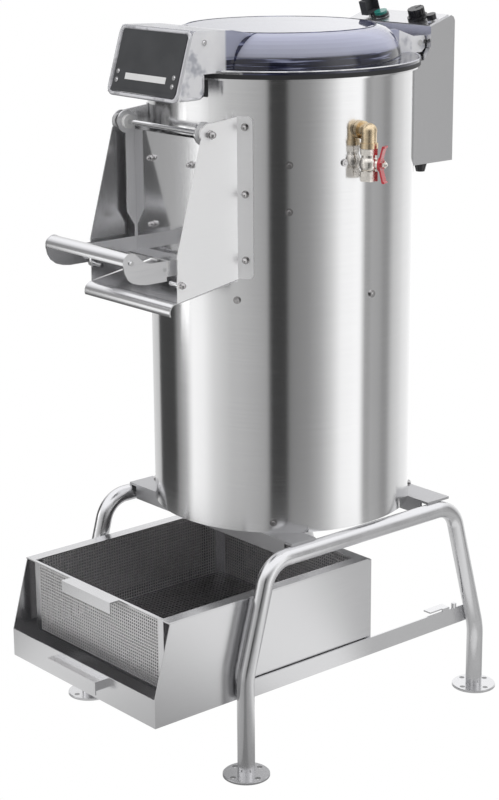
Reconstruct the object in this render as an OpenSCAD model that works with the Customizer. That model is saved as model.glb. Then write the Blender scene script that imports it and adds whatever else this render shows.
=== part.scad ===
// Floor-standing electric potato peeler: round drum on a tubular stand, front chute with a hung door,
// clear hinged lid, rear control box, side water valve, and a sliding tray with a lift-out basket.
// Millimetres. Floor at z = 0, drum axis at x = y = 0, chute to -Y, water valve to +X.

/* [Drum] */
// outer radius of the round casing
drum_r = 215; // [180:1:260]
// casing sheet thickness
sheet_t = 2; // [1.2:0.1:3]
// height of the casing wall
drum_h = 722; // [600:1:850]
// height of the chamber floor above the lower edge of the casing
chamber_up = 404; // [350:1:430]
// how far the rolled rim stands out from the casing
rim_out = 8; // [4:0.5:14]
// thickness of the rolled rim
rim_t = 3; // [2:0.5:6]
// height of the rubber seal on the rim
seal_h = 7; // [4:0.5:10]
// half width of the feed notch in the rim
notch_w = 65; // [40:1:90]
// depth of the feed notch below the rim
notch_h = 30; // [15:1:50]

/* [Stand] */
// outside diameter of the stand tube
tube_d = 28; // [20:0.5:42]
// wall of the stand tube
tube_wall = 2; // [1.2:0.1:4]
// distance of the feet from the drum axis, front and rear
foot_y = 263; // [200:1:320]
// height of the centreline of the top tubes
top_z = 348; // [280:1:430]
// lean of the legs from the vertical, in degrees
lean_a = 15.5; // [8:0.5:22]
// height where the front legs start to lean
kink_front = 167; // [80:1:200]
// height where the rear legs start to lean
kink_rear = 112; // [80:1:200]
// centreline radius of the top bends
bend_r = 48; // [35:1:80]
// diameter of a foot plate
foot_d = 76; // [60:1:110]
// thickness of a foot plate
foot_t = 4; // [3:0.5:8]
// diameter of a floor bolt hole
foot_hole = 9; // [6:0.5:13]
// pitch circle of the holes in one foot plate
foot_pcd = 56; // [44:1:80]

/* [Tray and basket] */
// half width of the tray
tray_w = 192; // [150:1:220]
// front face of the tray, distance in front of the drum axis
tray_front = 429; // [380:1:480]
// rear face of the tray, distance behind the drum axis
tray_rear = 28; // [0:1:80]
// height of the tray floor
tray_z = 124; // [100:1:150]
// height of the tray sides above the floor
tray_h = 288; // [240:1:320]
// height of the low front wall above the floor
tray_low = 171; // [150:1:200]
// set-back of the side edge at its top
tray_rake = 33; // [0:1:60]
// tray sheet thickness
tray_t = 1.5; // [1:0.1:3]
// gap between the basket body and the tray side
basket_gap = 20; // [12:1:40]
// height of the basket floor
basket_z = 166; // [140:1:200]
// width of the rail angle
rail_w = 30; // [20:1:40]
// thickness of the rail angle
rail_t = 3; // [2:0.5:5]

/* [Chute and door] */
// outer face of a cheek plate from the centre plane
cheek_x = 111; // [90:1:130]
// cheek plate thickness
cheek_t = 2; // [1.5:0.1:4]
// distance of the hinge rod in front of the casing
rod_out = 25; // [22:1:35]
// height of the hinge rod above the discharge opening
rod_up = 27; // [22:1:40]
// hinge rod diameter
rod_d = 8; // [6:0.5:12]
// half width of the discharge opening
open_w = 80; // [50:1:90]
// height of the discharge opening above the chamber floor
open_up = 36; // [30:1:50]
// height of the discharge opening
open_h = 176; // [120:1:190]
// distance of the door panel in front of the casing
door_out = 9; // [7:0.5:12]
// gap between a door flange and its cheek plate
door_gap = 12; // [8:1:15]
// width of the cheek flange on the casing
cheek_flange = 24.8; // [20:0.2:36]

/* [Lid and controls] */
// how far the lid flange stands out from the casing
lid_out = 10; // [8:0.5:16]
// lid wall thickness
lid_t = 3.5; // [2:0.5:6]
// half width of the front hood
hood_w = 88; // [70:1:100]
// distance of the lid hinge behind the casing
hinge_out = 11; // [10:0.5:13]
// height of the lid hinge above the rim seal
hinge_up = 18; // [17:0.5:20]
// half width of the control box
box_w = 100; // [80:1:130]
// depth of the control box behind the casing
box_depth = 82; // [78:1:120]
// how far the control box reaches below the rim seal
box_drop = 182; // [140:1:260]
// timer knob diameter
knob_d = 34; // [24:1:44]
// start button diameter
button_d = 22; // [16:1:30]

/* [Drive] */
// gap between the peeling disc and the liner
disc_gap = 17; // [6:1:40]
// height of the rim of the peeling disc above the chamber floor
disc_up = 20; // [18:1:30]
// spindle diameter
spindle_d = 30; // [20:1:40]
// diameter of the driven pulley
pulley_d = 160; // [120:1:180]
// diameter of the motor pulley
motor_pulley_d = 50; // [40:1:60]
// distance of the motor behind the spindle
motor_y = 118; // [110:1:130]
// motor body diameter
motor_d = 132; // [100:1:140]

/* [Water] */
// angle of the water elbow round the drum, from the front toward +X
inlet_a = 82.9; // [60:0.1:100]
// distance of the centre of the water elbow below the rim
inlet_drop = 81; // [75:1:110]
// bore of the valve
valve_bore = 15; // [10:0.5:20]

/* [Part] */

/* [Hidden] */
$fn = 48;
steel = [0.75, 0.76, 0.78];
dark = [0.15, 0.15, 0.16];
brass = [0.72, 0.58, 0.34];
red = [0.78, 0.1, 0.14];
green = [0.2, 0.5, 0.4];
white = [0.93, 0.93, 0.92];
clear = [0.8, 0.84, 0.92, 0.35];
eps = 0.01;
tube_r = tube_d / 2;
kink_r = 110;
lap = 0.6;
bend_step = 0.06;
slide_gap = 2.3;
frame_x = tray_w + slide_gap + rail_t + tube_r - 0.3;
bar_t = 4;
drum_z = top_z + tube_r + bar_t;
drum_top = drum_z + drum_h;
chamber_z = drum_z + chamber_up;
seal_z = drum_top;
lid_z = seal_z + seal_h;
plate_t = 4;
bar_w = 50;
bar_front = 75 - drum_r;
bar_rear = drum_r - 50;
bar_bolt_x = 110;
floor_t = 3;
liner_t = 5.7;
liner_h = drum_top - 58.7 - chamber_z - 14.3;
hood_yt = drum_r + 35;
hood_yb = drum_r + 66;
hood_zt = lid_z + 65;
hood_zb = lid_z - 35;
lid_r = drum_r + lid_out;
hinge_y = drum_r + hinge_out;
hinge_z = lid_z + hinge_up;
box_rear = drum_r + box_depth;
box_z = lid_z - box_drop;
box_front = drum_top - rim_t - 0.5;
panel_y = drum_r + 26;
panel_z = lid_z + 43.3;
panel_rise = 15.7;
panel_run = 47;
spindle_r = spindle_d / 2;
disc_r = drum_r - sheet_t - 6 - disc_gap;
disc_z = chamber_z + disc_up;
pulley_z = drum_z + 234;
pulley_h = 24;
motor_z = drum_z + plate_t + 10;
motor_h = pulley_z - 24 - motor_z;
open_z = chamber_z + open_up;
rod_y = drum_r + rod_out;
rod_z = open_z + open_h + rod_up;
door_y = drum_r + door_out;
door_x = cheek_x - cheek_t - door_gap;
cheek_zb = open_z - 25;
cheek_zt = rod_z + 22;
cheek_bolts = [cheek_zt - 15.2, (cheek_zb + cheek_zt) / 2 + 7, cheek_zb + 29.5];
flange_a = round(asin((cheek_x - cheek_t / 2) / (drum_r + 0.3)) * 10) / 10;
flange_da = round(cheek_flange / drum_r * 1800 / PI) / 10;
cheek_bolt_a = round((flange_a + flange_da * 0.515) * 10) / 10;
pin_y = drum_r + 86;
pin_z = open_z - 19;
pivot_y = drum_r + 107;
pivot_z = open_z + 6;
grip_y = pivot_y + 63;
grip_z = pivot_z + 19;
inlet_z = drum_top - inlet_drop;
basket_w = tray_w - basket_gap;
basket_f = tray_front - tray_rake - 2;
basket_r = tray_rear - 23;
drain_x = -130;
drain_y = -75;
drain_r = 34;
bolt_d = 10;
play = 0.05;
cover_x = -54;

module side_path(y0, zk, s, r, z0) {
  // one leg of a side frame, as bars of radius r: vertical foot, kink, lean and top bend
  th = lean_a;
  tk = kink_r * tan(th / 2);
  tt = bend_r * tan((90 - th) / 2);
  yc = y0 - s * (top_z - zk) * tan(th);
  len = (top_z - zk) / cos(th);
  translate([0, y0, z0]) cylinder(r = r, h = zk - tk - z0 + lap);
  translate([0, y0 - s * kink_r, zk - tk]) rotate([0, 0, s > 0 ? 0 : 180]) rotate([90, 0, 90])
    rotate_extrude(angle = th) translate([kink_r, 0]) circle(r = r - bend_step);
  translate([0, y0, zk]) rotate([s * th, 0, 0]) translate([0, 0, tk - lap])
    cylinder(r = r, h = len - tk - tt + 2 * lap);
  translate([0, yc - s * tt, top_z - bend_r]) rotate([0, 0, s > 0 ? 0 : 180]) rotate([90, 0, 90])
    rotate([0, 0, th]) rotate_extrude(angle = 90 - th) translate([bend_r, 0]) circle(r = r - bend_step);
}

module side_frame_bars(r, z0) {
  yf = -foot_y + (top_z - kink_front) * tan(lean_a);
  yr = foot_y - (top_z - kink_rear) * tan(lean_a);
  tt = bend_r * tan((90 - lean_a) / 2);
  side_path(-foot_y, kink_front, -1, r, z0);
  side_path(foot_y, kink_rear, 1, r, z0);
  translate([0, yf + tt - lap, top_z]) rotate([-90, 0, 0]) cylinder(r = r, h = yr - yf - 2 * tt + 2 * lap);
}

module side_frame() {
  difference() {
    side_frame_bars(tube_r, foot_t);
    side_frame_bars(tube_r - tube_wall, foot_t - 1);
  }
}

module frame_left() {
  color(steel) translate([-frame_x, 0, 0]) side_frame();
}

module frame_right() {
  color(steel) translate([frame_x, 0, 0]) side_frame();
}

module foot_plate() {
  difference() {
    union() {
      cylinder(d = foot_d, h = foot_t - 1);
      cylinder(d = foot_d - 2, h = foot_t);
    }
    for (a = [0, 90, 180, 270]) rotate(a) translate([foot_pcd / 2, 0, -1]) cylinder(d = foot_hole, h = 10);
  }
}

module foot_plates() {
  color(steel) for (sx = [-1, 1]) for (sy = [-1, 1]) translate([sx * frame_x, sy * foot_y, 0]) foot_plate();
}

module rail(s) {
  // angle rail: upright web outside the tray, flange under it, coped round the legs
  difference() {
    union() {
      translate([s > 0 ? tray_w + slide_gap : -tray_w - slide_gap - rail_t, -foot_y, tray_z - rail_t])
        cube([rail_t, 2 * foot_y, rail_w]);
      translate([s > 0 ? tray_w + slide_gap + rail_t - rail_w : -tray_w - slide_gap - rail_t,
        -foot_y + 12, tray_z - rail_t]) cube([rail_w, 2 * foot_y - 24, rail_t]);
    }
    for (sy = [-1, 1]) translate([s * frame_x, sy * foot_y, 50]) cylinder(r = tube_r, h = 120);
    translate([s * frame_x, foot_y, kink_rear]) rotate([lean_a, 0, 0]) cylinder(r = tube_r + 0.1, h = 80);
  }
}

module rail_left() {
  color(steel) rail(-1);
}

module rail_right() {
  color(steel) rail(1);
}

module rail_stop(s) {
  // rear stop on the rail: upright foot, forward-pointing lip and a round buffer
  z1 = tray_z - rail_t + rail_w;
  x0 = s * (tray_w + slide_gap);
  translate([s > 0 ? x0 - 16 : x0, foot_y - 95, z1 + 2.5]) cube([16, 44, 2.5]);
  translate([s > 0 ? x0 - 16 : x0, foot_y - 53.5, z1]) cube([16, 2.5, 5]);
  translate([s > 0 ? x0 : x0 - rail_t, foot_y - 67, z1]) cube([rail_t, 16, 5]);
  translate([x0 + s * rail_t / 2, foot_y - 39, z1]) cylinder(d = 9, h = 9);
}

module rail_stops() {
  color(steel) {
    rail_stop(-1);
    rail_stop(1);
  }
}

module crossbar(y) {
  // folded channel from side tube to side tube, the drum stands on its flat top
  translate([-frame_x, y - bar_w / 2, top_z + tube_r]) cube([2 * frame_x, bar_w, bar_t]);
  for (s = [0, 1]) translate([-frame_x + tube_r + 4, y - bar_w / 2 + s * (bar_w - bar_t), top_z + tube_r - 22])
    cube([2 * (frame_x - tube_r - 4), bar_t, 22 + eps]);
}

module crossbars() {
  color(steel) difference() {
    union() {
      crossbar(bar_front);
      crossbar(bar_rear);
    }
    translate([drain_x, drain_y, drum_z - 66]) cylinder(r = drain_r + 1, h = 100);
    for (x = [-bar_bolt_x, bar_bolt_x]) for (y = [bar_front, bar_rear])
      translate([x, y, drum_z - 26]) cylinder(d = 8.4, h = 60);
  }
}

module base_plate() {
  color(steel) difference() {
    translate([0, 0, drum_z]) cylinder(r = drum_r - sheet_t, h = plate_t, $fn = 96);
    translate([drain_x, drain_y, drum_z - 1]) cylinder(r = drain_r + 1, h = 10);
    for (x = [-bar_bolt_x, bar_bolt_x]) for (y = [bar_front, bar_rear])
      translate([x, y, drum_z - 5]) cylinder(d = 8.4, h = 20);
    for (a = [30, 90, 150]) rotate(a) translate([90, 0, drum_z - 1]) cylinder(d = 14, h = 10);
  }
}

module casing() {
  color(steel) difference() {
    union() {
      translate([0, 0, drum_z]) cylinder(r = drum_r, h = drum_h, $fn = 96);
      translate([0, 0, drum_top - rim_t]) cylinder(r = drum_r + rim_out, h = rim_t, $fn = 96);
    }
    translate([0, 0, drum_z - 1]) cylinder(r = drum_r - sheet_t, h = drum_h + 2, $fn = 96);
    translate([-open_w, -drum_r - 20, open_z]) cube([2 * open_w, 60, open_h]);
    translate([-notch_w, -drum_r - 20, drum_top - notch_h]) cube([2 * notch_w, 80, notch_h + 1]);
    rotate(inlet_a) translate([0, -drum_r - 10, inlet_z]) rotate([-90, 0, 0]) cylinder(d = 22, h = 30);
  }
}

module rim_seal() {
  // rubber ring on the rolled rim with two tails down the sides of the feed notch
  color(dark) {
    difference() {
      translate([0, 0, seal_z]) cylinder(r = drum_r + rim_out + 1.5, h = seal_h, $fn = 96);
      translate([0, 0, seal_z - 1]) cylinder(r = drum_r - 8, h = seal_h + 2, $fn = 96);
      translate([-notch_w + 4, -drum_r - 30, seal_z - 1]) cube([2 * notch_w - 8, 80, seal_h + 2]);
    }
    for (s = [-1, 1]) difference() {
      intersection() {
        difference() {
          translate([0, 0, drum_top - notch_h + 1]) cylinder(r = drum_r + 3, h = notch_h - 1 + eps, $fn = 96);
          translate([0, 0, drum_top - notch_h]) cylinder(r = drum_r - 7, h = notch_h + 1, $fn = 96);
        }
        translate([s > 0 ? notch_w - 4 : -notch_w, -drum_r - 10, drum_top - notch_h])
          cube([4, 60, notch_h + 1]);
      }
    }
  }
}

module dome_screw(a, z, r) {
  rotate(a) translate([0, -r, z]) rotate([90, 0, 0]) {
    cylinder(d = bolt_d + 2, h = 1.5);
    cylinder(d = bolt_d, h = 3.2);
    cylinder(d1 = bolt_d - 1, d2 = bolt_d - 5, h = 4.6, $fn = 24);
  }
}

module casing_screws() {
  color(steel) {
    for (a = [-75.5, -52, 52, 75.5]) dome_screw(a, drum_top - 130, drum_r);
    for (a = [-51.9, 51.9]) dome_screw(a, drum_top - 202, drum_r);
    for (a = [30, 90, 150, 210, 270, 330]) dome_screw(a, chamber_z - 24, drum_r);
    for (a = [45, 135, 225, 315]) dome_screw(a, drum_z + 18, drum_r);
    for (x = [-bar_bolt_x, bar_bolt_x]) for (y = [bar_front, bar_rear]) {
      translate([x, y, drum_z + plate_t]) cylinder(d = 14, h = 6, $fn = 6);
      translate([x, y, drum_z - bar_t - 8]) cylinder(d = 8, h = 8 + bar_t + plate_t + eps);
      translate([x, y, drum_z - bar_t - 6]) cylinder(d = 14, h = 6, $fn = 6);
    }
  }
}

module chamber_floor() {
  // pan under the disc, with a turned-up edge, the spindle hole and the drain hole
  color(steel) difference() {
    union() {
      translate([0, 0, chamber_z]) cylinder(r = drum_r - sheet_t - 0.1, h = floor_t, $fn = 96);
      difference() {
        translate([0, 0, chamber_z]) cylinder(r = drum_r - sheet_t - 0.1, h = 14, $fn = 96);
        translate([0, 0, chamber_z]) cylinder(r = drum_r - sheet_t - 3, h = 15, $fn = 96);
      }
    }
    translate([0, 0, chamber_z - 1]) cylinder(d = 62, h = 8);
    translate([drain_x, drain_y, chamber_z - 1]) cylinder(r = drain_r - 2, h = 8);
  }
}

module drain_pipe() {
  color(steel) difference() {
    union() {
      translate([drain_x, drain_y, drum_z - 30]) cylinder(r = drain_r, h = chamber_z - drum_z + 30);
      translate([drain_x, drain_y, chamber_z - 5]) cylinder(r = drain_r + 8, h = 5);
      translate([drain_x, drain_y, drum_z + plate_t]) cylinder(r = drain_r + 10, h = 3);
    }
    translate([drain_x, drain_y, drum_z - 31]) cylinder(r = drain_r - 2, h = chamber_z);
  }
}

module liner() {
  // abrasive wall lining of the peeling chamber
  color([0.3, 0.3, 0.31]) difference() {
    translate([0, 0, chamber_z + 14.3]) cylinder(r = drum_r - sheet_t - 0.3, h = liner_h, $fn = 96);
    translate([0, 0, chamber_z + 14])
      cylinder(r = drum_r - sheet_t - 0.3 - liner_t, h = liner_h + 5, $fn = 96);
    translate([-open_w - 3, -drum_r - 20, open_z - 3]) cube([2 * open_w + 6, 80, open_h + 6]);
    rotate(inlet_a) translate([0, -drum_r - 10, inlet_z]) rotate([-90, 0, 0]) cylinder(d = 36, h = 40);
  }
}

module disc() {
  // dished peeling disc with three abrasive waves
  color([0.32, 0.32, 0.33]) difference() {
    union() {
      translate([0, 0, disc_z - 4]) rotate_extrude($fn = 96)
        polygon([[0, 0], [disc_r, 0], [disc_r, 4], [disc_r - 20, 4], [60, 4], [50, 10], [0, 10]]);
      for (a = [0, 120, 240]) rotate(a) intersection() {
        translate([62, 0, disc_z - 26]) rotate([0, 90, 0]) cylinder(r = 34, h = disc_r - 72, $fn = 48);
        translate([55, -40, disc_z - 1]) cube([disc_r - 57, 80, 12]);
      }
    }
    translate([0, 0, disc_z - 10]) cylinder(d = spindle_d - 10, h = 40);
  }
}

module disc_cap() {
  color(steel) translate([0, 0, disc_z + 6]) rotate_extrude()
    polygon([[0, 0], [24, 0], [24, 5], [20, 12], [10, 17], [0, 18]]);
}

module spindle() {
  color(steel) {
    translate([0, 0, pulley_z - 10]) cylinder(r = spindle_r, h = disc_z - 4 - pulley_z + 10);
    translate([0, 0, disc_z - 4 - eps]) cylinder(d = spindle_d - 10, h = 10);
  }
}

module bearing_housing() {
  color([0.45, 0.46, 0.48]) difference() {
    union() {
      translate([0, 0, pulley_z + 40]) cylinder(d = 90, h = chamber_z - pulley_z - 40);
      translate([0, 0, chamber_z - 8]) cylinder(d = 150, h = 8);
      for (a = [0, 60, 120, 180, 240, 300]) rotate(a) translate([42, -4, chamber_z - 80]) cube([24, 8, 74]);
    }
    translate([0, 0, pulley_z + 30]) cylinder(r = spindle_r + play, h = chamber_z - pulley_z);
  }
}

module shaft_seal() {
  color(dark) difference() {
    translate([0, 0, chamber_z]) cylinder(d = 60, h = 9);
    translate([0, 0, chamber_z - 1]) cylinder(r = spindle_r + play, h = 12);
  }
}

module grooved_pulley(d, h, bore) {
  difference() {
    rotate_extrude($fn = 64) polygon([[0, 0], [d / 2, 0], [d / 2, 3], [d / 2 - 5, 7], [d / 2 - 5, h - 7],
      [d / 2, h - 3], [d / 2, h], [0, h]]);
    translate([0, 0, -1]) cylinder(d = bore, h = h + 2);
  }
}

module driven_pulley() {
  color([0.5, 0.5, 0.52]) translate([0, 0, pulley_z]) difference() {
    grooved_pulley(pulley_d, pulley_h, spindle_d);
    for (a = [0, 72, 144, 216, 288]) rotate(a) translate([46, 0, -1]) cylinder(d = 30, h = pulley_h + 2);
  }
}

module belt_loop(o, h) {
  ra = pulley_d / 2 - 4.6 + o;
  rb = motor_pulley_d / 2 - 4.6 + o;
  ph = asin((ra - rb) / motor_y);
  linear_extrude(height = h) union() {
    circle(r = ra, $fn = 64);
    translate([0, motor_y]) circle(r = rb, $fn = 48);
    polygon([[ra * cos(ph), ra * sin(ph)], [rb * cos(ph), motor_y + rb * sin(ph)],
      [-rb * cos(ph), motor_y + rb * sin(ph)], [-ra * cos(ph), ra * sin(ph)]]);
  }
}

module belt() {
  color(dark) translate([0, 0, pulley_z + 7.5]) difference() {
    belt_loop(5, pulley_h - 15);
    translate([0, 0, -1]) belt_loop(0, pulley_h);
  }
}

module motor_pulley() {
  color([0.5, 0.5, 0.52]) translate([0, motor_y, pulley_z]) grooved_pulley(motor_pulley_d, pulley_h, 19);
}

module motor() {
  color([0.35, 0.38, 0.42]) translate([0, motor_y, 0]) {
    translate([0, 0, motor_z]) cylinder(d = motor_d - 12, h = motor_h - 14);
    for (a = [0 : 24 : 336]) rotate(a) translate([motor_d / 2 - 10, -1.5, motor_z + 22])
      cube([9, 3, motor_h - 58]);
    translate([0, 0, motor_z + motor_h - 14 - eps]) cylinder(d = motor_d - 6, h = 14);
    translate([0, 0, motor_z]) cylinder(d = motor_d - 4, h = 20);
    translate([0, 0, motor_z + motor_h - eps]) cylinder(d = 36, h = 6);
    translate([0, 0, motor_z + motor_h]) cylinder(d = 19, h = pulley_z + pulley_h - motor_z - motor_h);
    translate([-46, -30, motor_z + 60]) rotate([0, -90, 0]) translate([0, 0, 0]) cube([70, 60, 34]);
  }
}

module motor_bracket() {
  // shelf on four posts between the base plate and the motor flange
  color(steel) {
    difference() {
      translate([-motor_d / 2 - 18, motor_y - motor_d / 2 + 4, motor_z + motor_h])
        cube([motor_d + 36, motor_d - 8, 5]);
      translate([0, motor_y, motor_z + motor_h - 1]) cylinder(d = 37, h = 10);
    }
    for (sx = [-1, 1]) for (sy = [-1, 1])
      translate([sx * (motor_d / 2 + 12), motor_y + sy * (motor_d / 2 - 12), drum_z + plate_t])
        cylinder(d = 9, h = motor_z + motor_h - drum_z - plate_t);
  }
}

module chute_frame() {
  // neck that carries the discharge opening out from the round wall to a flat face
  color(steel) difference() {
    translate([-open_w - 10, -door_y + 4, open_z - 8]) cube([2 * open_w + 20, 50, open_h + 16]);
    translate([-open_w, -door_y - 1, open_z]) cube([2 * open_w, 70, open_h]);
    cylinder(r = drum_r + 0.3, h = 2000, $fn = 96);
  }
}

module chute_seal() {
  color(dark) difference() {
    translate([-open_w - 9, -door_y + 0.3, open_z - 7]) cube([2 * open_w + 18, 3.7, open_h + 14]);
    translate([-open_w, -door_y - 1, open_z]) cube([2 * open_w, 10, open_h]);
  }
}

module acorn(r, h) {
  // domed nut along +Z from the origin
  cylinder(r = r, h = h * 0.45, $fn = 6);
  cylinder(r = r * 0.82, h = h * 0.62, $fn = 24);
  translate([0, 0, h * 0.6]) sphere(r = r * 0.8, $fn = 24);
}

module cheek_profile() {
  union() {
    polygon([[35 - drum_r, cheek_zb], [-pin_y - 5, cheek_zb - 21], [-pin_y - 5, open_z + 22],
      [-rod_y - 17, rod_z - 9],
      [-rod_y, rod_z + 16], [35 - drum_r, cheek_zt]]);
    translate([-rod_y, rod_z]) circle(r = 17);
  }
}

module cheek() {
  // right cheek: flat plate with a flange that follows the round casing
  difference() {
    translate([cheek_x - cheek_t, 0, 0]) rotate([90, 0, 90]) linear_extrude(height = cheek_t) cheek_profile();
    cylinder(r = drum_r + 0.3, h = 2000, $fn = 96);
    translate([cheek_x - 10, -rod_y, rod_z]) rotate([0, 90, 0]) cylinder(r = rod_d / 2 + 0.02, h = 20);
    translate([cheek_x - 10, -pin_y, pin_z]) rotate([0, 90, 0]) cylinder(r = 3.02, h = 20);
  }
  difference() {
    rotate(flange_a - 90) rotate_extrude(angle = flange_da, $fn = 96) translate([drum_r + 0.3, cheek_zb])
      square([cheek_t, cheek_zt - cheek_zb]);
    for (z = [cheek_zb, cheek_zt]) rotate(flange_a + flange_da) translate([0, -drum_r, z])
      rotate([90, 0, 0]) difference() {
      translate([-8, -8, -10]) cube([16, 16, 20]);
      translate([-8, z > open_z ? -8 : 8, -11]) cylinder(r = 8, h = 22);
      translate([-17, -8.5, -11]) cube([9, 17, 22]);
    }
    for (z = cheek_bolts) rotate(cheek_bolt_a) translate([0, -drum_r + 2, z]) rotate([90, 0, 0])
      cylinder(d = 6, h = 10);
  }
}

module cheek_right() {
  color(steel) cheek();
}

module cheek_left() {
  color(steel) mirror([1, 0, 0]) cheek();
}

module chute_floor() {
  // sloping floor between the cheeks, its front edge rolled down
  color(steel) difference() {
    translate([-cheek_x + cheek_t, 0, 0]) rotate([90, 0, 90])
      linear_extrude(height = 2 * (cheek_x - cheek_t)) union() {
      translate([-drum_r, open_z]) {
        polygon([[35, -27], [-89.5, -46], [-89.2, -48], [35, -29]]);
        intersection() {
          difference() {
            translate([-91.5, -60.8]) circle(r = 15);
            translate([-91.5, -60.8]) circle(r = 13);
          }
          translate([-115, -66]) square([26.2, 30]);
        }
      }
    }
    cylinder(r = drum_r + 0.3, h = 2000, $fn = 96);
  }
}

module cheek_nuts() {
  color(steel) for (s = [-1, 1]) {
    for (z = cheek_bolts) rotate(s * cheek_bolt_a) translate([0, -drum_r - 0.05, z]) rotate([90, 0, 0]) {
      cylinder(d = 5.8, h = cheek_t + 0.4);
      translate([0, 0, cheek_t + 0.3]) cylinder(r = 6, h = 1);
      translate([0, 0, cheek_t + 1.3 - eps]) acorn(5, 9);
    }
    translate([s * cheek_x, -rod_y, rod_z]) rotate([0, s * 90, 0]) acorn(7, 12);
    translate([s * cheek_x, -pin_y, pin_z]) rotate([0, s * 90, 0]) acorn(6, 11);
  }
}

module hinge_rod() {
  color(steel) translate([-cheek_x, -rod_y, rod_z]) rotate([0, 90, 0]) cylinder(d = rod_d, h = 2 * cheek_x);
}

module door_flange() {
  // side flange of the door: hanging eye, deep upper web, shallow lower web, forward ear for the handle
  difference() {
    union() {
      translate([-rod_y, rod_z]) circle(r = 18);
      polygon([[-door_y, open_z - 6], [-door_y, rod_z - 5], [-rod_y - 3, rod_z - 5],
        [-rod_y - 3, open_z + 60],
        [-door_y - 5, open_z + 37], [-door_y - 5, pivot_z + 12], [-pivot_y - 4, pivot_z + 12],
        [-pivot_y - 11, pivot_z + 5], [-pivot_y - 11, pivot_z - 6], [-pivot_y - 5, open_z - 6]]);
    }
    translate([-rod_y, rod_z]) circle(r = 9);
    translate([-pivot_y, pivot_z]) circle(r = 3 + play);
  }
}

module door_panel() {
  // hanging door: flat pan with folded side flanges and a bottom lip
  color(steel) {
    translate([-door_x + 2, -door_y - 2, open_z - 6]) cube([2 * door_x - 4, 2, rod_z - open_z - 7]);
    translate([-door_x + 2, -door_y - 20, open_z - 6]) cube([2 * door_x - 4, 20, 2]);
    for (s = [0, 1]) translate([s > 0 ? door_x - 2 : -door_x, 0, 0]) rotate([90, 0, 90])
      linear_extrude(height = 2) door_flange();
  }
}

module door_bushes() {
  // plastic hubs in the eyes of the door, running on the rod
  color(white) for (s = [-1, 1]) translate([s * door_x, -rod_y, rod_z]) rotate([0, 90, 0]) difference() {
    union() {
      translate([0, 0, -10]) cylinder(r = 8.95, h = 20);
      translate([0, 0, s > 0 ? -10 : 2.1]) cylinder(r = 11, h = 7.9);
      translate([0, 0, s > 0 ? 0.5 : -10]) cylinder(r = 11, h = 9.5);
    }
    translate([0, 0, -20]) cylinder(r = rod_d / 2 + play, h = 40);
  }
}

module door_nuts() {
  color(steel) for (x = [-50, 50]) for (z = [open_z + 44, rod_z - 54]) translate([x, -door_y - 2, z])
    rotate([90, 0, 0]) {
    cylinder(r = 6, h = 1);
    translate([0, 0, 1]) acorn(5, 9);
  }
}

module latch_pins() {
  // pins inside the cheeks for the hooks of the handle
  color(steel) for (s = [-1, 1]) translate([s * cheek_x, -pin_y, pin_z]) rotate([0, -s * 90, 0]) {
    cylinder(r = 3, h = 23);
    translate([0, 0, cheek_t]) cylinder(r = 5.5, h = 3);
    translate([0, 0, 21]) cylinder(r = 3.6, h = 2);
  }
}

module arm_profile() {
  translate([-pivot_y, pivot_z]) difference() {
    union() {
      translate([pivot_y - grip_y, grip_z - pivot_z]) circle(r = 15);
      polygon([[9, 13], [-28, 14], [-37, 17], [-45, 23], [-52, 29], [-63, 19], [-77, 14],
        [-75, 5], [-69, -5], [-60, -12], [-48, -16], [-34, -18], [9, -18]]);
    }
    translate([11, -11]) circle(r = 7);
    translate([pivot_y - grip_y, grip_z - pivot_z]) circle(r = 2.52);
    circle(r = 3.02);
    translate([4, -22]) square([20, 11]);
  }
}

module handle_arms() {
  // end plates of the handle, each with a hook slot at its rear end
  color(steel) for (s = [0, 1]) translate([s > 0 ? door_x + 0.5 : -door_x - 3, 0, 0]) rotate([90, 0, 90])
    linear_extrude(height = 2.5) arm_profile();
}

module handle_grip() {
  // half round grip of folded sheet, open below
  color(steel) translate([-door_x - 0.5, -grip_y, grip_z]) rotate([90, 0, 90])
    linear_extrude(height = 2 * door_x + 1) difference() {
      circle(r = 14.5);
      circle(r = 12.5);
      rotate(20) translate([-8, -20]) square([40, 18]);
      rotate(-15) translate([-20, -30]) square([40, 24]);
    }
}

module handle_screws() {
  color(steel) for (s = [-1, 1]) {
    translate([s * (door_x + 0.5), -grip_y, grip_z]) rotate([0, s * 90, 0]) cylinder(r = 2.5, h = 2.5 + eps);
    translate([s * (door_x + 3), -grip_y, grip_z]) rotate([0, s * 90, 0]) cylinder(d = 9, h = 1.5);
    translate([s * (door_x + 3), -grip_y, grip_z]) rotate([0, s * 90, 0]) cylinder(d1 = 8, d2 = 5, h = 3);
    translate([s * (door_x - 7), -pivot_y, pivot_z]) rotate([0, s * 90, 0]) cylinder(r = 3, h = 10);
    translate([s * (door_x - 7), -pivot_y, pivot_z]) rotate([0, s * 90, 0]) cylinder(r = 4.5, h = 2);
  }
}

module dome_profile(d) {
  polygon(concat([[0, lid_z - 5], [drum_r - 21 - d, lid_z - 5]],
    [for (i = [0 : 10]) [drum_r - 67 + (46 - d) * cos(i * 9), lid_z + 4 + (52 - d) * sin(i * 9)]],
    [[0, lid_z + 56 - d]]));
}

module hood_outer() {
  polygon([[-hood_yb, hood_zb], [-hood_yt - 0.9, hood_zt - 3], [-hood_yt + 1, hood_zt],
    [-hood_yt + 6, hood_zt + 1],
    [40 - drum_r, hood_zt - 2], [77 - drum_r, lid_z + 56], [77 - drum_r, lid_z + 1],
      [-drum_r - 17, lid_z + 1],
    [-drum_r - 17, hood_zb + 6], [-drum_r - 23, hood_zb]]);
}

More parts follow.
